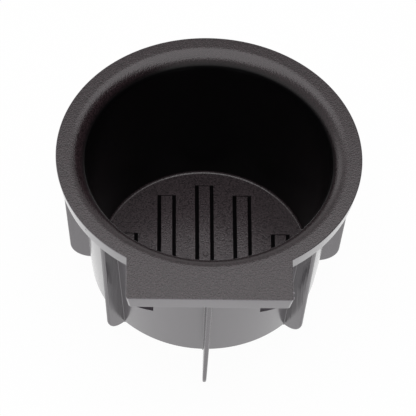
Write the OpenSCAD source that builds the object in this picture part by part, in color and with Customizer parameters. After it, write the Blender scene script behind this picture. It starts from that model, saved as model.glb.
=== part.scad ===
// Drop-in cup holder insert for a car console, moulded in one piece.
// The origin is on the cup's axis at the underside of the base, and the tongue points to -Y.

/* [Cup] */
// Height from the underside of the base to the top of the flange
holder_h = 54; // [46:1:70]
// Radius of the base
base_r = 36.6; // [34:0.1:38]
// Radius of the outer wall at the height of the flange's top
neck_r = 42.1; // [40:0.1:43]
// Thickness of the wall, the flange's plate and the lip
wall_t = 3.1; // [2.4:0.1:3.6]
// Thickness of the floor
floor_t = 2.1; // [1.5:0.1:4]
// Radius of the rolled lip round the mouth
lip_r = 5.6; // [4.8:0.1:6.2]
// Fillet between the wall and the floor
floor_fillet_r = 0.8; // [0.4:0.1:4]
// Round on the lower edge of the base
base_edge_r = 0.6; // [0.3:0.1:1.5]

/* [Flange] */
// Radius of the round flange at its top edge
flange_r = 48; // [47:0.5:54]
// Height of the rim that hangs from the flange's plate
rim_h = 5.4; // [4.2:0.1:9]
// Thickness of that rim at its lower edge
rim_t = 2.4; // [1.4:0.1:2.8]
// How far the rim's outer face leans in from top to bottom
rim_draft = 0.9; // [0:0.1:1.4]
// Round on the flange's top edge
flange_edge_r = 0.3; // [0.2:0.05:1]
// Width of the tongue at its top edge
tongue_w = 51; // [30:0.2:60]
// Distance from the cup's axis to the tongue's front edge
tongue_reach = 56.1; // [52:0.1:66]

/* [Fins] */
// Number of fins round the wall, one of them under the tongue
fin_count = 8; // [4:4:12]
// Gap from the rim's lower edge in to the top of a fin's outer edge
fin_inset = 0.4; // [0.3:0.1:1.2]
// How far a fin's outer edge leans in from the flange down to the base
fin_rake = 3.5; // [1:0.1:3.6]
// The same for the fin under the tongue
front_rake = 2.7; // [1:0.1:8]
// Radius of a fin's lower outer corner
fin_corner_r = 6.9; // [2:0.1:8]
// Thickness of a fin at the base
fin_foot_t = 1.15; // [0.9:0.05:1.6]
// Thickness of a fin at the flange
fin_root_t = 1.9; // [1.2:0.05:2.4]

/* [Floor bars] */
// Number of raised bars on the floor
bar_count = 5; // [1:2:5]
// Distance between neighbouring bars
bar_pitch = 12.4; // [8:0.1:13]
// Width of a bar's flat top
bar_top_w = 3.65; // [2:0.05:5]
// Height of a bar, whose sides slope at 45 degrees
bar_h = 1.25; // [0.6:0.05:2]
// Radius of the circle on which the bars end
bar_end_r = 28.8; // [28:0.1:31]
// Diameter of the round gate mark in the middle of the floor
gate_d = 1.9; // [1:0.1:3]
// Height of the gate mark over the bar
gate_h = 0.2; // [0.1:0.05:0.5]

/* [Windows under the tongue] */
// Distance from the middle to each window's inner side
window_x = 16.8; // [12:0.1:18]
// Width of a window
window_w = 6; // [3:0.1:7]
// Height of a window at its inner side
window_h = 9; // [5:0.5:16]
// Height of the inner end of a window's sill over the base
sill_z = 18; // [10:0.1:24]
// How far the sill falls for each unit that it runs outwards
sill_fall = 0.5; // [0:0.05:0.8]

/* [Hidden] */
$fn = 144;

// A cut reaches this far past the face that it goes through
past = 1;
plastic = [0.13, 0.13, 0.135];

// Outer wall: a straight slope from the base to the flange's top
wall_slope = (neck_r - base_r) / holder_h;
wall_a = atan(wall_slope);
function outer_r(z) = base_r + wall_slope * z;
function inner_r(z) = outer_r(z) - wall_t;

// Centre of the lip's roll, which is tangent to the inner wall and to the flange's top
lip_z = holder_h - lip_r;
lip_c = inner_r(lip_z) + lip_r / cos(wall_a);
// The lip's underside is concentric with its roll
lip_under_r = lip_r - wall_t;

// Centre of the fillet between the floor and the wall
fillet_z = floor_t + floor_fillet_r;
fillet_c = inner_r(fillet_z) - floor_fillet_r / cos(wall_a);

// The rim's outer face leans in by rim_draft over rim_h
rim_z = holder_h - rim_h;
rim_a = atan(rim_draft / rim_h);
function rim_face(reach, z) = reach - rim_draft * (holder_h - z) / rim_h;

// A fin's outer edge leans in by its rake from the rim's lower edge to the base
function fin_face(reach, rake, z) = reach - rim_draft - fin_inset - rake * (rim_z - z) / rim_z;
fin_top_z = holder_h - wall_t / 2;
fin_step = 360 / fin_count;
front_az = -90;

bar_foot_w = bar_top_w + 2 * bar_h;
bar_top_z = floor_t + bar_h;
// Half the length of a bar at its foot, where the corner lies on the end circle
function bar_half_l(x) = sqrt(pow(bar_end_r, 2) - pow(abs(x) + bar_foot_w / 2, 2));

// Section of the cup's outside: base, wall and the concentric underside of the lip
module neck_section() {
    edge_c = outer_r(base_edge_r) - base_edge_r / cos(wall_a);
    difference() {
        polygon([
            [0, 0],
            [edge_c, 0],
            [edge_c + base_edge_r * cos(wall_a), base_edge_r * (1 - sin(wall_a))],
            [lip_c - lip_under_r * cos(wall_a), lip_z + lip_under_r * sin(wall_a)],
            [lip_c, lip_z],
            [lip_c, holder_h],
            [0, holder_h]
        ]);
        translate([lip_c, lip_z]) circle(lip_under_r);
    }
    translate([edge_c, base_edge_r]) circle(base_edge_r);
}

// Section of the hollow: floor with its fillet, wall and rolled mouth
module hollow_section() {
    difference() {
        polygon([
            [0, floor_t],
            [fillet_c, floor_t],
            [fillet_c + floor_fillet_r * cos(wall_a), fillet_z - floor_fillet_r * sin(wall_a)],
            [lip_c - lip_r * cos(wall_a), lip_z + lip_r * sin(wall_a)],
            [lip_c, lip_z],
            [lip_c, holder_h + past],
            [0, holder_h + past]
        ]);
        translate([lip_c, lip_z]) circle(lip_r);
    }
    intersection() {
        translate([fillet_c, fillet_z]) circle(floor_fillet_r);
        translate([fillet_c, 0]) square([floor_fillet_r, fillet_z]);
    }
}

// Section of the flange from its middle to its rounded, leaning edge
module flange_section(reach) {
    edge_z = holder_h - flange_edge_r;
    edge_c = rim_face(reach, edge_z) - flange_edge_r / cos(rim_a);
    polygon([
        [0, rim_z],
        [rim_face(reach, rim_z), rim_z],
        [edge_c + flange_edge_r * cos(rim_a), edge_z - flange_edge_r * sin(rim_a)],
        [edge_c, holder_h],
        [0, holder_h]
    ]);
    translate([edge_c, edge_z]) circle(flange_edge_r);
}

// Tongue as a block with the flange's edge on its front and both sides
module tongue_block() {
    intersection() {
        rotate([90, 0, -90])
            linear_extrude(height = tongue_w, center = true) flange_section(tongue_reach);
        rotate([90, 0, 0]) linear_extrude(height = tongue_reach + past) {
            flange_section(tongue_w / 2);
            mirror([1, 0]) flange_section(tongue_w / 2);
        }
    }
}

// Space under the flange's plate, inside the hanging rim
module flange_underside() {
    inset = rim_draft + rim_t;
    depth = rim_h - wall_t;
    translate([0, 0, rim_z - past]) {
        cylinder(r = flange_r - inset, h = depth + past);
        translate([inset - tongue_w / 2, inset - tongue_reach, 0])
            cube([tongue_w - 2 * inset, tongue_reach - inset, depth + past]);
    }
}

// Outline of a fin whose flange reaches out to the given distance
module fin_outline(reach, rake) {
    lean = atan(rake / rim_z);
    corner_c = fin_face(reach, rake, fin_corner_r) - fin_corner_r / cos(lean);
    polygon([
        [base_r - wall_t, 0],
        [corner_c, 0],
        [corner_c + fin_corner_r * cos(lean), fin_corner_r * (1 - sin(lean))],
        [fin_face(reach, rake, fin_top_z), fin_top_z],
        [outer_r(fin_top_z) - wall_t, fin_top_z]
    ]);
    intersection() {
        translate([corner_c, fin_corner_r]) circle(fin_corner_r);
        translate([corner_c, 0]) square([fin_corner_r, fin_corner_r]);
    }
}

// Fin: its outline, thinner at the foot than at the flange
module fin(reach, rake) {
    intersection() {
        rotate([90, 0, 0])
            linear_extrude(height = 2 * fin_root_t, center = true) fin_outline(reach, rake);
        rotate([90, 0, 90])
            linear_extrude(height = reach)
                polygon([
                    [-fin_foot_t / 2, 0],
                    [fin_foot_t / 2, 0],
                    [fin_root_t / 2, fin_top_z],
                    [-fin_root_t / 2, fin_top_z]
                ]);
    }
}

module fins() {
    rotate([0, 0, front_az]) fin(tongue_reach, front_rake);
    for (i = [1 : fin_count - 1])
        rotate([0, 0, front_az + i * fin_step]) fin(flange_r, fin_rake);
}

// Pair of windows through the wall, left and right of the front fin
module windows() {
    for (side = [0, 1])
        mirror([side, 0, 0])
            rotate([90, 0, 0])
                linear_extrude(height = neck_r + past)
                    polygon([
                        [window_x, sill_z],
                        [window_x + window_w, sill_z - sill_fall * window_w],
                        [window_x + window_w, sill_z + window_h],
                        [window_x, sill_z + window_h]
                    ]);
}

// Raised bar whose four sides slope at 45 degrees
module bar(half_l) {
    intersection() {
        rotate([90, 0, 0])
            linear_extrude(height = 2 * half_l, center = true) bar_section(bar_foot_w / 2);
        rotate([90, 0, 90])
            linear_extrude(height = bar_foot_w, center = true) bar_section(half_l);
    }
}

module bar_section(half_w) {
    polygon([
        [-half_w, floor_t / 2],
        [half_w, floor_t / 2],
        [half_w, floor_t],
        [half_w - bar_h, bar_top_z],
        [bar_h - half_w, bar_top_z],
        [-half_w, floor_t]
    ]);
}

module floor_bars() {
    middle = (bar_count - 1) / 2;
    for (i = [-middle : middle])
        translate([i * bar_pitch, 0, 0]) bar(bar_half_l(i * bar_pitch));
    translate([0, 0, floor_t]) cylinder(d = gate_d, h = bar_h + gate_h);
}

module holder() {
    color(plastic) {
        difference() {
            union() {
                difference() {
                    union() {
                        rotate_extrude() flange_section(flange_r);
                        tongue_block();
                    }
                    flange_underside();
                }
                rotate_extrude() neck_section();
                fins();
            }
            rotate_extrude() hollow_section();
            windows();
        }
        floor_bars();
    }
}

holder();
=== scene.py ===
import math
import bmesh
import bpy
from mathutils import Matrix, Vector


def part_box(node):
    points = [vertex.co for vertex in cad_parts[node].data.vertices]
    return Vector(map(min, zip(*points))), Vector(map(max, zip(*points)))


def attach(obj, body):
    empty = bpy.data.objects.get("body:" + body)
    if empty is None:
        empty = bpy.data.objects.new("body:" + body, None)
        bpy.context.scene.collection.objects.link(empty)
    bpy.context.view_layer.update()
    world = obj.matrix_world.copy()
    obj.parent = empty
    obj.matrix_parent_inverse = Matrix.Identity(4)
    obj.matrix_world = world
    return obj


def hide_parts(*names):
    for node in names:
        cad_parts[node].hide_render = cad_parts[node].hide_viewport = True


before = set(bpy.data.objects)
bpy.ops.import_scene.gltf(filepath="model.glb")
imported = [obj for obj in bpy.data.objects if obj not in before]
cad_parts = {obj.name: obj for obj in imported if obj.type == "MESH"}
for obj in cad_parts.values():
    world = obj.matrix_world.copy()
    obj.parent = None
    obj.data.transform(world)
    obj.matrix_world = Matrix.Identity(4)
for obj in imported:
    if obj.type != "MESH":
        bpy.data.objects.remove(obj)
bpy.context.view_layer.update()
print("frame loaded", sorted(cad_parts))

# Camera: the photograph's view, a long lens from the front and above
view = {
    "imageSize": 416,          # pixels across the picture
    "focalPixels": 3000,       # focal length in those pixels
    "distance": 0.9358,        # from the middle of the mouth to the lens
    "yaw": -2.48,              # degrees to the left of the tongue
    "elevation": 52.35,
    "roll": 2.67,
    "mouthPixel": (209.2, 154.02),
    "mouthHeight": 0.054,
}


def makeCamera(v):
    yaw, lift, roll = (math.radians(v[k]) for k in ("yaw", "elevation", "roll"))
    back = Vector((math.sin(yaw) * math.cos(lift), -math.cos(yaw) * math.cos(lift), math.sin(lift)))
    flat = Vector((math.cos(yaw), math.sin(yaw), 0))
    tall = back.cross(flat)
    right = math.cos(roll) * flat + math.sin(roll) * tall
    up = -math.sin(roll) * flat + math.cos(roll) * tall
    perPixel = v["distance"] / v["focalPixels"]
    centre = v["imageSize"] / 2
    aside = (v["mouthPixel"][0] - centre) * perPixel
    down = (v["mouthPixel"][1] - centre) * perPixel
    data = bpy.data.cameras.new("camera")
    data.sensor_width = 36
    data.lens = data.sensor_width * v["focalPixels"] / v["imageSize"]
    data.clip_start, data.clip_end = 0.05, 20
    cam = bpy.data.objects.new("camera", data)
    spot = Vector((0, 0, v["mouthHeight"])) + back * v["distance"] - right * aside + up * down
    turn = Matrix((right, up, back)).transposed().to_4x4()
    cam.matrix_world = Matrix.Translation(spot) @ turn
    bpy.context.scene.collection.objects.link(cam)
    bpy.context.scene.camera = cam


makeCamera(view)
print("camera set")

# Studio: a pale floor, a white world and a softbox close overhead
studio = {
    "worldStrength": 0.25,
    "lampColor": (1, 0.975, 0.995),
    "floorSize": 6,
    "floorLevel": -0.0001,
    "floorColor": (0.9, 0.9, 0.9, 1),
    "shadowShow": 0.03,        # how much of the floor's real shading the camera sees
}
lamps = {                      # power in watts, width and length, place, what it points at
    "softbox": (1.85, 0.43, 0.54, (-0.005, -0.004, 0.4), (-0.005, -0.004, 0)),
    "leftLamp": (0.5, 0.4, 0.4, (-0.55, 0.6, 0.35), (0, 0, 0.04)),
}


def whenSeen(tree):
    # 1 on camera, glossy and transmission rays
    rays = tree.nodes.new("ShaderNodeLightPath")
    first = tree.nodes.new("ShaderNodeMath")
    first.operation = "MAXIMUM"
    second = tree.nodes.new("ShaderNodeMath")
    second.operation = "MAXIMUM"
    tree.links.new(rays.outputs["Is Camera Ray"], first.inputs[0])
    tree.links.new(rays.outputs["Is Glossy Ray"], first.inputs[1])
    tree.links.new(first.outputs[0], second.inputs[0])
    tree.links.new(rays.outputs["Is Transmission Ray"], second.inputs[1])
    return second


def makeWorld(s):
    world = bpy.data.worlds.new("studioWorld")
    bpy.context.scene.world = world
    world.use_nodes = True
    tree = world.node_tree
    tree.nodes.clear()
    lit = tree.nodes.new("ShaderNodeBackground")
    lit.inputs["Strength"].default_value = s["worldStrength"]
    white = tree.nodes.new("ShaderNodeBackground")
    white.inputs["Strength"].default_value = 1
    mix = tree.nodes.new("ShaderNodeMixShader")
    out = tree.nodes.new("ShaderNodeOutputWorld")
    tree.links.new(whenSeen(tree).outputs[0], mix.inputs["Fac"])
    tree.links.new(lit.outputs[0], mix.inputs[1])
    tree.links.new(white.outputs[0], mix.inputs[2])
    tree.links.new(mix.outputs[0], out.inputs["Surface"])


def makeFloor(s):
    shape = bmesh.new()
    bmesh.ops.create_grid(shape, x_segments=1, y_segments=1, size=s["floorSize"] / 2)
    mesh = bpy.data.meshes.new("floor")
    shape.to_mesh(mesh)
    shape.free()
    floor = bpy.data.objects.new("floor", mesh)
    floor.location.z = s["floorLevel"]
    bpy.context.scene.collection.objects.link(floor)
    mat = bpy.data.materials.new("paleFloor")
    mat.use_nodes = True
    tree = mat.node_tree
    tree.nodes.clear()
    paint = tree.nodes.new("ShaderNodeBsdfDiffuse")
    paint.inputs["Color"].default_value = s["floorColor"]
    glow = tree.nodes.new("ShaderNodeEmission")
    glow.inputs["Strength"].default_value = 1
    amount = tree.nodes.new("ShaderNodeMath")
    amount.operation = "MULTIPLY"
    amount.inputs[1].default_value = 1 - s["shadowShow"]
    mix = tree.nodes.new("ShaderNodeMixShader")
    out = tree.nodes.new("ShaderNodeOutputMaterial")
    tree.links.new(whenSeen(tree).outputs[0], amount.inputs[0])
    tree.links.new(amount.outputs[0], mix.inputs["Fac"])
    tree.links.new(paint.outputs[0], mix.inputs[1])
    tree.links.new(glow.outputs[0], mix.inputs[2])
    tree.links.new(mix.outputs[0], out.inputs["Surface"])
    mesh.materials.append(mat)


def makeLamp(name, power, width, length, place, aim):
    data = bpy.data.lights.new(name, "AREA")
    data.shape = "RECTANGLE"
    data.size, data.size_y = width, length
    data.energy = power
    data.color = studio["lampColor"]
    lamp = bpy.data.objects.new(name, data)
    lamp.location = place
    lamp.rotation_mode = "QUATERNION"
    lamp.rotation_quaternion = (Vector(aim) - Vector(place)).to_track_quat("-Z", "Y")
    bpy.context.scene.collection.objects.link(lamp)


# A dark card to the right that only reflections see: the left of the mouth falls off into shade
card = {
    "place": (0.45, 0.2, 0.28),
    "width": 1.6,
    "height": 0.56,
    "color": (0.01, 0.01, 0.01, 1),
}


def makeCard(c):
    shape = bmesh.new()
    bmesh.ops.create_grid(shape, x_segments=1, y_segments=1, size=0.5)
    bmesh.ops.scale(shape, verts=shape.verts, vec=(c["height"], c["width"], 1))
    bmesh.ops.rotate(shape, verts=shape.verts, cent=(0, 0, 0),
                     matrix=Matrix.Rotation(math.radians(-90), 3, "Y"))
    bmesh.ops.translate(shape, verts=shape.verts, vec=c["place"])
    mesh = bpy.data.meshes.new("darkCard")
    shape.to_mesh(mesh)
    shape.free()
    board = bpy.data.objects.new("darkCard", mesh)
    bpy.context.scene.collection.objects.link(board)
    mat = bpy.data.materials.new("darkCard")
    mat.use_nodes = True
    shader = mat.node_tree.nodes["Principled BSDF"]
    shader.inputs["Base Color"].default_value = c["color"]
    shader.inputs["Roughness"].default_value = 1
    mesh.materials.append(mat)
    board.visible_camera = False
    board.visible_diffuse = False
    board.visible_shadow = False


makeWorld(studio)
makeFloor(studio)
makeCard(card)
for name, values in lamps.items():
    makeLamp(name, *values)
bpy.context.scene.view_settings.view_transform = "Standard"
print("studio lit")

low, high = (Vector(c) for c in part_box("holder"))

# The moulding, in metres; radii are from the cup's axis
cup = {
    "height": high.z,
    "baseRadius": 0.0366,
    "neckRadius": 0.0421,      # outer wall at the height of the flange's top
    "wall": 0.0031,
    "floorThick": 0.0021,
    "lipRadius": 0.0056,       # rolled mouth
    "floorFillet": 0.0008,
    "baseEdge": 0.0006,
    "steps": 240,              # steps round the cup
    "creaseAngle": 35,         # degrees between faces, past which an edge stays sharp
    "arcSteps": 6,
    "past": 0.004,             # how far a cutter runs past the face that it goes through
}
flange = {
    "radius": high.x,
    "reach": -low.y,           # tongue's front edge
    "tongueSides": (-0.0255, 0.0252),
    "rimHeight": 0.0054,
    "rimThick": 0.0024,
    "draft": 0.0009,           # lean of the rim's outer face
    "topEdge": 0.0003,
    "lowEdge": 0.0002,
    "corner": 0.0009,          # upright corners of the tongue
}
zones = {"floor": 0, "mouth": 1, "skin": 2, "well": 3, "fin": 4}    # material slots, the same on all
picking = {
    "clear": 0.001,            # an edge this far off isn't the one that is looked for
    "tiny": 1e-6,
    "facingUp": 0.9,           # upward part of a normal on a level face
}


def outerRadius(z):
    return cup["baseRadius"] + (cup["neckRadius"] - cup["baseRadius"]) * z / cup["height"]


def innerRadius(z):
    return outerRadius(z) - cup["wall"]


def roundedWire(corners, arcSteps):
    # an open line through (x, z, radius) corners, each rounded by its radius
    shape = bmesh.new()
    points = [shape.verts.new((x, 0, z)) for x, z, _ in corners]
    for a, b in zip(points, points[1:]):
        shape.edges.new((a, b))
    for point, (_, _, radius) in zip(points, corners):
        if radius:
            ways = [(e.other_vert(point).co - point.co).normalized() for e in point.link_edges]
            reach = radius / math.tan(ways[0].angle(ways[1]) / 2)
            segments = arcSteps if radius < picking["clear"] else arcSteps * 3
            bmesh.ops.bevel(shape, geom=[point], offset=reach, offset_type="OFFSET", affect="VERTICES",
                            segments=segments, profile=0.5, material=-1)
    return shape


def spun(corners, arcSteps=cup["arcSteps"]):
    shape = roundedWire(corners, arcSteps)
    bmesh.ops.spin(shape, geom=shape.verts[:] + shape.edges[:], cent=(0, 0, 0), axis=(0, 0, 1),
                   angle=math.tau, steps=cup["steps"], use_merge=True)
    bmesh.ops.remove_doubles(shape, verts=shape.verts, dist=picking["tiny"])
    bmesh.ops.recalc_face_normals(shape, faces=shape.faces)
    return shape


def block(x, y, z):
    # a box between the pairs x, y and z
    shape = bmesh.new()
    bmesh.ops.create_cube(shape, size=1)
    bmesh.ops.scale(shape, verts=shape.verts, vec=(x[1] - x[0], y[1] - y[0], z[1] - z[0]))
    middle = [sum(pair) / 2 for pair in (x, y, z)]
    bmesh.ops.translate(shape, verts=shape.verts, vec=middle)
    return shape


def plateShell():
    # the round flange with its rim, solid for now
    top, rimLow = cup["height"], cup["height"] - flange["rimHeight"]
    return spun([
        (0, top, 0),
        (flange["radius"], top, flange["topEdge"]),
        (flange["radius"] - flange["draft"], rimLow, flange["lowEdge"]),
        (0, rimLow, 0),
    ])


def tongueShell():
    top, rimLow = cup["height"], cup["height"] - flange["rimHeight"]
    shape = block(flange["tongueSides"], (-flange["reach"], 0), (rimLow, top))
    clear, tiny = picking["clear"], picking["tiny"]
    for vert in shape.verts:
        if vert.co.z < top - clear:
            vert.co.x -= math.copysign(flange["draft"], vert.co.x)
            if vert.co.y < -clear:
                vert.co.y += flange["draft"]
    upright = [e for e in shape.edges if abs(e.verts[0].co.z - e.verts[1].co.z) > clear
               and e.verts[0].co.y < -clear]
    bmesh.ops.bevel(shape, geom=upright, offset=flange["corner"], offset_type="OFFSET", affect="EDGES",
                    segments=cup["arcSteps"], profile=0.5, material=-1)
    for level, radius in ((top, flange["topEdge"]), (rimLow, flange["lowEdge"])):
        rim = [e for e in shape.edges if all(abs(v.co.z - level) < tiny for v in e.verts)
               and min(v.co.y for v in e.verts) < -clear]
        bmesh.ops.bevel(shape, geom=rim, offset=radius, offset_type="OFFSET", affect="EDGES",
                        segments=cup["arcSteps"] // 2, profile=0.5, material=-1)
    return shape


def pocketShells():
    # the hollow underside of the flange, round and under the tongue
    inset = flange["draft"] + flange["rimThick"]
    deep, shallow = cup["height"] - flange["rimHeight"] - cup["past"], cup["height"] - cup["wall"]
    ring = spun([(0, shallow, 0), (flange["radius"] - inset, shallow, 0),
                 (flange["radius"] - inset, deep, 0), (0, deep, 0)])
    left, right = flange["tongueSides"]
    return ring, block((left + inset, right - inset), (inset - flange["reach"], 0), (deep, shallow))


def neckShell():
    # base, outer wall and the underside of the rolled lip
    top = cup["height"]
    plateLow = top - cup["wall"]
    return spun([
        (0, top - cup["wall"] / 2, 0),
        (lipCentre(), top - cup["wall"] / 2, 0),
        (lipCentre(), plateLow, 0),
        (outerRadius(plateLow), plateLow, cup["lipRadius"] - cup["wall"]),
        (cup["baseRadius"], 0, cup["baseEdge"]),
        (0, 0, 0),
    ])


def lipCentre():
    lean = math.atan2(cup["neckRadius"] - cup["baseRadius"], cup["height"])
    return innerRadius(cup["height"] - cup["lipRadius"]) + cup["lipRadius"] / math.cos(lean)


def hollowShell():
    # what is cut out: the well, with the floor's fillet and the rolled mouth
    top, floor = cup["height"], cup["floorThick"]
    return spun([
        (0, floor, 0),
        (innerRadius(floor), floor, cup["floorFillet"]),
        (innerRadius(top), top, cup["lipRadius"]),
        (flange["radius"], top, 0),
        (flange["radius"], top + cup["past"], 0),
        (0, top + cup["past"], 0),
    ])


fin = {
    "count": 8,
    "inset": 0.0004,           # in from the rim's lower edge
    "rake": 0.0035,            # lean of the outer edge from the flange down to the base
    "frontRake": 0.0027,       # the same under the tongue
    "corner": 0.0069,
    "footThick": 0.00115,
    "rootThick": 0.0019,
    "edge": 0.0006,            # round on the free edges
    "fillet": 0.0001,          # where a fin meets the wall
    "frontFillet": 0.0003,     # the same on the front fin
    "filletDeep": 0.001,       # how far its shell reaches into the wall
    "filletPast": 0.00003,     # and past the fin's side
    "frontBend": 0.0005,       # the tip of the front fin's foot stands this far to the left
    "turn": -0.4,              # degrees that the other fins stand turned from the tongue
}


def finShell(reach, rake, bend):
    top = cup["height"] - cup["wall"] / 2
    rimLow = cup["height"] - flange["rimHeight"]
    foot = reach - flange["draft"] - fin["inset"] - rake
    root = foot + rake * top / rimLow
    shape = roundedWire([
        (outerRadius(0) - cup["wall"] / 2, 0, 0),
        (foot, 0, fin["corner"]),
        (root, top, 0),
        (outerRadius(top) - cup["wall"] / 2, top, 0),
    ], cup["arcSteps"])
    ends = [v for v in shape.verts if len(v.link_edges) == 1]
    shape.edges.new(ends)
    outline = bmesh.ops.contextual_create(shape, geom=shape.edges[:])["faces"]
    bmesh.ops.translate(shape, verts=shape.verts, vec=(0, -fin["rootThick"] / 2, 0))
    side = bmesh.ops.extrude_face_region(shape, geom=outline)["geom"]
    moved = [g for g in side if isinstance(g, bmesh.types.BMVert)]
    bmesh.ops.translate(shape, verts=moved, vec=(0, fin["rootThick"], 0))
    bmesh.ops.recalc_face_normals(shape, faces=shape.faces)
    tiny = picking["tiny"]
    free = [e for e in shape.edges if abs(e.verts[0].co.y - e.verts[1].co.y) < tiny
            and max(v.co.z for v in e.verts) > tiny
            and min(v.co.x for v in e.verts) > foot - fin["corner"]]
    bmesh.ops.bevel(shape, geom=free, offset=fin["edge"], offset_type="OFFSET", affect="EDGES",
                    segments=cup["arcSteps"] // 2, profile=0.5, material=-1)
    for vert in shape.verts:
        up, out = vert.co.z / top, (vert.co.x - cup["baseRadius"]) / (foot - cup["baseRadius"])
        thick = fin["footThick"] + (fin["rootThick"] - fin["footThick"]) * up
        vert.co.y = vert.co.y * thick / fin["rootThick"] - bend * (1 - up) * max(out, 0)
    return shape


def turned(shape, degrees):
    bmesh.ops.rotate(shape, verts=shape.verts, cent=(0, 0, 0),
                     matrix=Matrix.Rotation(math.radians(degrees), 3, "Z"))


def finTurn(i):
    # the front fin comes first
    return -90 + i * 360 / fin["count"] + (fin["turn"] if i else 0)


def finShells():
    shapes = []
    for i in range(fin["count"]):
        front = i == 0
        shape = finShell(flange["reach"] if front else flange["radius"],
                         fin["frontRake"] if front else fin["rake"], fin["frontBend"] if front else 0)
        turned(shape, finTurn(i))
        shapes.append(shape)
    return shapes


def filletShells():
    # a fin's root is a little wider where it meets the wall
    shapes = []
    top = cup["height"] - cup["wall"] / 2
    for i in range(fin["count"]):
        fillet = fin["fillet"] if i else fin["frontFillet"]
        shape = block((-1, 1), (-1, 1), (0, top))
        for vert in shape.verts:
            thick = fin["footThick"] + (fin["rootThick"] - fin["footThick"]) * vert.co.z / top
            reach = fillet + fin["filletPast"] if vert.co.x > 0 else -fin["filletDeep"]
            vert.co.x = outerRadius(vert.co.z) + reach
            vert.co.y *= thick / 2 + fillet - reach
        turned(shape, finTurn(i))
        shapes.append(shape)
    return shapes


# Windows through the wall on both sides of the front fin
window = {"inner": 0.0168, "width": 0.006, "height": 0.009, "sill": 0.018, "sillFall": 0.5}


def windowShells():
    shapes = []
    for side in (-1, 1):
        inner, outer = side * window["inner"], side * (window["inner"] + window["width"])
        shape = block(sorted((inner, outer)), (-cup["neckRadius"] - cup["past"], 0),
                      (window["sill"], window["sill"] + window["height"]))
        for vert in shape.verts:
            atSill = vert.co.z < window["sill"] + picking["clear"]
            if atSill and abs(vert.co.x) > window["inner"] + picking["clear"]:
                vert.co.z -= window["sillFall"] * window["width"]
        shapes.append(shape)
    return shapes


# Raised bars on the floor and the gate's mark
bars = {
    "count": 5,
    "pitch": 0.0124,
    "halfLength": (0.0282, 0.024, 0.0082),     # at the foot, from the middle bar outwards
    "topWidth": 0.00365,
    "rise": 0.00125,           # their sides slope at 45 degrees
    "edge": 0.00015,
    "gateRadius": 0.00095,
    "gateRise": 0.0002,
    "gateEdge": 0.00018,       # slope round the mark
    "gatePlace": (0.0003, -0.0011),            # x and y of its middle
}


def barShells():
    shapes = []
    floor, foot = cup["floorThick"], bars["topWidth"] / 2 + bars["rise"]
    for i in range(bars["count"]):
        place = i - bars["count"] // 2
        x, half = place * bars["pitch"], bars["halfLength"][abs(place)]
        shape = block((x - foot, x + foot), (-half, half), (floor / 2, floor))
        shape.faces.ensure_lookup_table()
        lid = [f for f in shape.faces if f.calc_center_median().z > floor - 1e-5]
        bmesh.ops.inset_region(shape, faces=lid, thickness=bars["rise"], depth=bars["rise"],
                               use_even_offset=True)
        brow = [e for e in shape.edges if max(v.co.z for v in e.verts) > floor + bars["rise"] / 2]
        bmesh.ops.bevel(shape, geom=brow, offset=bars["edge"], offset_type="OFFSET", affect="EDGES",
                        segments=2, profile=0.5, material=-1)
        shapes.append(shape)
    return shapes


def gateShell():
    deep = bars["rise"] + bars["gateRise"]
    shape = bmesh.new()
    bmesh.ops.create_cone(shape, cap_ends=True, segments=32, radius1=bars["gateRadius"],
                          radius2=bars["gateRadius"], depth=deep)
    bmesh.ops.translate(shape, verts=shape.verts, vec=(*bars["gatePlace"], cup["floorThick"] + deep / 2))
    crown = [e for e in shape.edges if min(v.co.z for v in e.verts) > cup["floorThick"] + deep / 2]
    bmesh.ops.bevel(shape, geom=crown, offset=bars["gateEdge"], offset_type="OFFSET", affect="EDGES",
                    segments=1, profile=0.5, material=-1)
    return shape


# Small marks: beads of flash on the tongue's right edge and a nick in the rim
marks = {
    "beadRadius": 0.0003,
    "beadLong": 1.4,
    "beadsAt": (-0.053, -0.0549),
    "nickRadius": 0.0004,
    "nickOut": 0.0001,         # its centre lies this far off the rim's face
    "nickTurn": -142.8,        # degrees round the cup
    "nickHeight": 0.0521,
}


def beadShells():
    shapes = []
    for y in marks["beadsAt"]:
        shape = bmesh.new()
        bmesh.ops.create_icosphere(shape, subdivisions=2, radius=marks["beadRadius"])
        bmesh.ops.scale(shape, verts=shape.verts, vec=(1, marks["beadLong"], 1))
        place = (flange["tongueSides"][1], y, cup["height"] - marks["beadRadius"])
        bmesh.ops.translate(shape, verts=shape.verts, vec=place)
        shapes.append(shape)
    return shapes


def nickShell():
    shape = bmesh.new()
    bmesh.ops.create_icosphere(shape, subdivisions=2, radius=marks["nickRadius"])
    lean = flange["draft"] * (cup["height"] - marks["nickHeight"]) / flange["rimHeight"]
    out = flange["radius"] - lean + marks["nickOut"]
    turn = math.radians(marks["nickTurn"])
    bmesh.ops.translate(shape, verts=shape.verts,
                        vec=(out * math.cos(turn), out * math.sin(turn), marks["nickHeight"]))
    return shape


def asObject(shape, name, zone):
    mesh = bpy.data.meshes.new(name)
    for face in shape.faces:
        face.material_index = zone(face)
    shape.to_mesh(mesh)
    shape.free()
    for mat in finishes:
        mesh.materials.append(mat)
    piece = bpy.data.objects.new(name, mesh)
    bpy.context.scene.collection.objects.link(piece)
    return piece


def joined(shapes):
    whole = bmesh.new()
    for shape in shapes:
        part = bpy.data.meshes.new("part")
        shape.to_mesh(part)
        shape.free()
        whole.from_mesh(part)
        bpy.data.meshes.remove(part)
    return whole


def combine(body, steps):
    # the shells are added and cut in turn, as a mould's cavity and cores would
    for operation, tool in steps:
        change = body.modifiers.new(tool.name, "BOOLEAN")
        change.operation = operation
        change.object = tool
        change.solver = "MANIFOLD"
    graph = bpy.context.evaluated_depsgraph_get()
    mesh = bpy.data.meshes.new_from_object(body.evaluated_get(graph))
    body.modifiers.clear()
    body.data = mesh
    for _, tool in steps:
        bpy.data.objects.remove(tool)


def skinZone(face):
    return zones["skin"]


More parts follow.
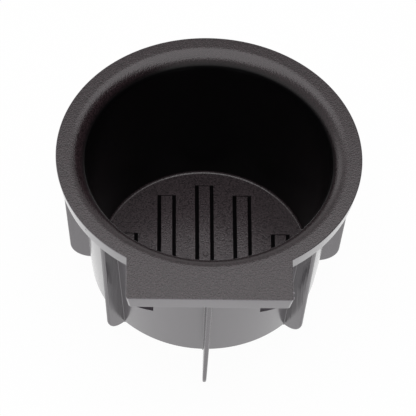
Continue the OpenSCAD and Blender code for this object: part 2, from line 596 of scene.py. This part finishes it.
def finZone(face):
    return zones["fin"]


def topZone(face):
    return zones["mouth"] if face.normal.z > picking["facingUp"] else zones["skin"]


def wellZone(face):
    z = face.calc_center_median().z
    if z < cup["floorThick"] + cup["floorFillet"]:
        return zones["floor"]
    return zones["mouth"] if z > polish["from"] else zones["well"]


def floorZone(face):
    return zones["floor"]


def barZone(face):
    # grained on top, smooth on the slopes
    return zones["floor"] if face.normal.z > picking["facingUp"] else zones["well"]


def makeMoulding():
    body = asObject(plateShell(), "cup_moulding", topZone)
    ring, slot = pocketShells()
    combine(body, [
        ("UNION", asObject(tongueShell(), "tongue", topZone)),
        ("DIFFERENCE", asObject(ring, "ring", skinZone)),
        ("DIFFERENCE", asObject(slot, "slot", skinZone)),
        ("UNION", asObject(neckShell(), "neck", skinZone)),
        ("UNION", asObject(joined(finShells()), "fins", finZone)),
        ("UNION", asObject(joined(filletShells()), "fillets", finZone)),
        ("DIFFERENCE", asObject(hollowShell(), "hollow", wellZone)),
        ("DIFFERENCE", asObject(joined(windowShells()), "windows", skinZone)),
        ("UNION", asObject(joined(barShells()), "bars", barZone)),
        ("UNION", asObject(gateShell(), "gate", floorZone)),
        ("UNION", asObject(joined(beadShells()), "beads", skinZone)),
        ("DIFFERENCE", asObject(nickShell(), "nick", finZone)),
    ])
    shape = bmesh.new()
    shape.from_mesh(body.data)
    bmesh.ops.remove_doubles(shape, verts=shape.verts, dist=2e-6)
    bmesh.ops.dissolve_degenerate(shape, edges=shape.edges, dist=2e-6)
    for face in shape.faces:
        face.smooth = True
    crease = math.radians(cup["creaseAngle"])
    for edge in shape.edges:
        edge.smooth = len(edge.link_faces) == 2 and edge.calc_face_angle() < crease
    shape.to_mesh(body.data)
    shape.free()
    even = body.modifiers.new("evenShading", "WEIGHTED_NORMAL")
    even.keep_sharp = True
    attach(body, "root")
    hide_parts("holder")
    return body


# Finishes: fine grain on the flange and floor, smooth black inside, glossier outside, with painted light
# on the outer wall and painted shade on the fins and down the rolled mouth
grain = {
    "color": (0.0065, 0.0038, 0.0045, 1),
    "pale": (0.021, 0.0125, 0.0148, 1),    # the grain's lighter specks
    "roughness": 0.23,
    "specular": 0.4,
    "scale": 2050,                         # specks per metre, about
    "range": (0.35, 0.65),                 # the part of the noise that the specks are made from
    "depth": 0.000023,
    "floorColor": (0.014, 0.0105, 0.0118, 1),
    "floorPale": (0.044, 0.034, 0.037, 1),
    "sheen": 0.2,                          # the grain's pale look at a flat angle
    "sheenRoughness": 0.3,
}
polish = {
    # below "from" the rolled mouth takes this darker colour: partly the polished finish, partly painted
    # shade where the mouth turns into the well
    "color": (0.0012, 0.0011, 0.0013, 1),
    "pale": (0.0024, 0.0022, 0.0026, 1),
    "roughness": 0.3,
    "specular": 0.2,
    "from": 0.0505,                        # the grain fades in over these heights of the rolled mouth
    "to": 0.0527,
}
skin = {
    # colour and pale are painted light: a grey far lighter than the flange's black, standing in for the
    # bright floor's reflection; the faint flow marks between them are the plastic's own
    "color": (0.058, 0.049, 0.061, 1),
    "pale": (0.066, 0.057, 0.069, 1),
    "cloudScale": 160,                     # faint flow marks
    "roughness": 0.3,
    "ior": 1.64,
    "specular": 1.0,
    "tint": (1, 0.965, 1, 1),
    "coat": 1.0,
    "coatRoughness": 0.15,
    "finIor": 1.88,
    "finRoughness": 0.2,
    # the streaks run between these colours: drag marks, and painted shade in that both are far darker
    # than the wall's colour
    "dragAndShadeDark": (0.001, 0.0008, 0.0012, 1),
    "dragAndShadePale": (0.028, 0.024, 0.03, 1),
    "streakScale": 900,                    # streaks per metre, about
    "streakLong": 0.06,                    # the pattern is squeezed this much upwards
    "streakRange": (0.3, 0.7),
    "streakDepth": 0.00003,
}


def addNode(tree, kind, **values):
    node = tree.nodes.new(kind)
    for key, value in values.items():
        if key in node.inputs:
            node.inputs[key].default_value = value
        else:
            setattr(node, key, value)
    return node


def newFinish(name, **values):
    mat = bpy.data.materials.new(name)
    mat.use_nodes = True
    tree = mat.node_tree
    shader = tree.nodes["Principled BSDF"]
    for key, value in values.items():
        shader.inputs[key].default_value = value
    place = addNode(tree, "ShaderNodeTexCoord")
    return mat, tree, shader, place.outputs["Object"]


def mixBy(tree, kind, factor, first, second):
    node = addNode(tree, "ShaderNodeMix", data_type=kind)
    wanted = "RGBA" if kind == "RGBA" else "VALUE"
    sockets = [i for i in node.inputs if i.type == wanted and i.name in "AB"]
    tree.links.new(factor, node.inputs[0])
    for socket, value in zip(sockets, (first, second)):
        if isinstance(value, bpy.types.NodeSocket):
            tree.links.new(value, socket)
        else:
            socket.default_value = value
    return next(o for o in node.outputs if o.type == wanted)


def spreadOut(tree, value, limits, **settings):
    # 0 to 1 between the two limits
    spread = addNode(tree, "ShaderNodeMapRange", **settings)
    for name, limit in zip(("From Min", "From Max"), limits):
        spread.inputs[name].default_value = limit
    tree.links.new(value, spread.inputs["Value"])
    return spread.outputs["Result"]


def cloud(tree, place, shader, dark, pale):
    # faint flow marks, so that a smooth face isn't one flat colour
    flow = addNode(tree, "ShaderNodeTexNoise", Scale=skin["cloudScale"], Detail=4, Roughness=0.6)
    tree.links.new(place, flow.inputs["Vector"])
    tree.links.new(mixBy(tree, "RGBA", flow.outputs["Fac"], dark, pale), shader.inputs["Base Color"])


def speckle(tree, place, dark, pale):
    # the grain's colour and height
    specks = addNode(tree, "ShaderNodeTexNoise", Scale=grain["scale"], Detail=1, Roughness=0.5)
    tree.links.new(place, specks.inputs["Vector"])
    height = spreadOut(tree, specks.outputs["Fac"], grain["range"])
    return mixBy(tree, "RGBA", height, dark, pale), height


def makeGrained():
    mat, tree, shader, place = newFinish("grainedBlack", Roughness=grain["roughness"])
    shader.inputs["Specular IOR Level"].default_value = grain["specular"]
    tint, height = speckle(tree, place, grain["floorColor"], grain["floorPale"])
    bump = addNode(tree, "ShaderNodeBump", Distance=grain["depth"])
    tree.links.new(height, bump.inputs["Height"])
    tree.links.new(tint, shader.inputs["Base Color"])
    tree.links.new(bump.outputs["Normal"], shader.inputs["Normal"])
    return mat


def makeMouth():
    # polished in the well, grained on the flange, with the change over the rolled mouth; the colour's
    # darkening down the roll is partly that change of finish and partly painted shade where the mouth
    # turns into the well
    mat, tree, shader, place = newFinish("mouthGrainAndPaintedShade")
    shader.inputs["Sheen Weight"].default_value = grain["sheen"]
    shader.inputs["Sheen Roughness"].default_value = grain["sheenRoughness"]
    shader.inputs["Specular IOR Level"].default_value = grain["specular"]
    tint, height = speckle(tree, place, grain["color"], grain["pale"])
    axes = addNode(tree, "ShaderNodeSeparateXYZ")
    tree.links.new(place, axes.inputs[0])
    amount = spreadOut(tree, axes.outputs["Z"], (polish["from"], polish["to"]),
                       interpolation_type="SMOOTHSTEP")
    # painted shade: the colour darkens to the polish's down the rolled mouth, along with the change of
    # finish
    tint = mixBy(tree, "RGBA", amount, polish["color"], tint)
    dull = mixBy(tree, "FLOAT", amount, polish["roughness"], grain["roughness"])
    tree.links.new(tint, shader.inputs["Base Color"])
    tree.links.new(dull, shader.inputs["Roughness"])
    bump = addNode(tree, "ShaderNodeBump", Distance=grain["depth"])
    tree.links.new(height, bump.inputs["Height"])
    tree.links.new(amount, bump.inputs["Strength"])
    tree.links.new(bump.outputs["Normal"], shader.inputs["Normal"])
    return mat


def makeWell():
    mat, tree, shader, place = newFinish("polishedBlack", Roughness=polish["roughness"])
    shader.inputs["Specular IOR Level"].default_value = polish["specular"]
    cloud(tree, place, shader, polish["color"], polish["pale"])
    return mat


def newSkin(name):
    mat, tree, shader, place = newFinish(name, Roughness=skin["roughness"], IOR=skin["ior"])
    shader.inputs["Specular IOR Level"].default_value = skin["specular"]
    shader.inputs["Specular Tint"].default_value = skin["tint"]
    shader.inputs["Coat Weight"].default_value = skin["coat"]
    shader.inputs["Coat Roughness"].default_value = skin["coatRoughness"]
    return mat, tree, shader, place


def makeSkin():
    mat, tree, shader, place = newSkin("wallBlackPaintedLight")
    # the wall's colour is painted light, a grey that stands in for the bright floor's reflection
    cloud(tree, place, shader, skin["color"], skin["pale"])
    return mat


def makeFin():
    # drag marks run up the fins, where the mould drew off; the fins' colour is also painted shade, far
    # darker than the wall's, as under the flange
    mat, tree, shader, place = newSkin("finBlackPaintedShade")
    shader.inputs["IOR"].default_value = skin["finIor"]
    shader.inputs["Roughness"].default_value = skin["finRoughness"]
    shader.inputs["Coat Weight"].default_value = 0
    squeeze = addNode(tree, "ShaderNodeMapping", Scale=(1, 1, skin["streakLong"]))
    tree.links.new(place, squeeze.inputs["Vector"])
    streaks = addNode(tree, "ShaderNodeTexNoise", Scale=skin["streakScale"], Detail=3, Roughness=0.6)
    tree.links.new(squeeze.outputs["Vector"], streaks.inputs["Vector"])
    height = spreadOut(tree, streaks.outputs["Fac"], skin["streakRange"])
    tint = mixBy(tree, "RGBA", height, skin["dragAndShadeDark"], skin["dragAndShadePale"])
    tree.links.new(tint, shader.inputs["Base Color"])
    bump = addNode(tree, "ShaderNodeBump", Distance=skin["streakDepth"])
    tree.links.new(height, bump.inputs["Height"])
    tree.links.new(bump.outputs["Normal"], shader.inputs["Normal"])
    return mat


finishes = [makeGrained(), makeMouth(), makeSkin(), makeWell(), makeFin()]
moulding = makeMoulding()
print("moulding made,", len(moulding.data.polygons), "faces")
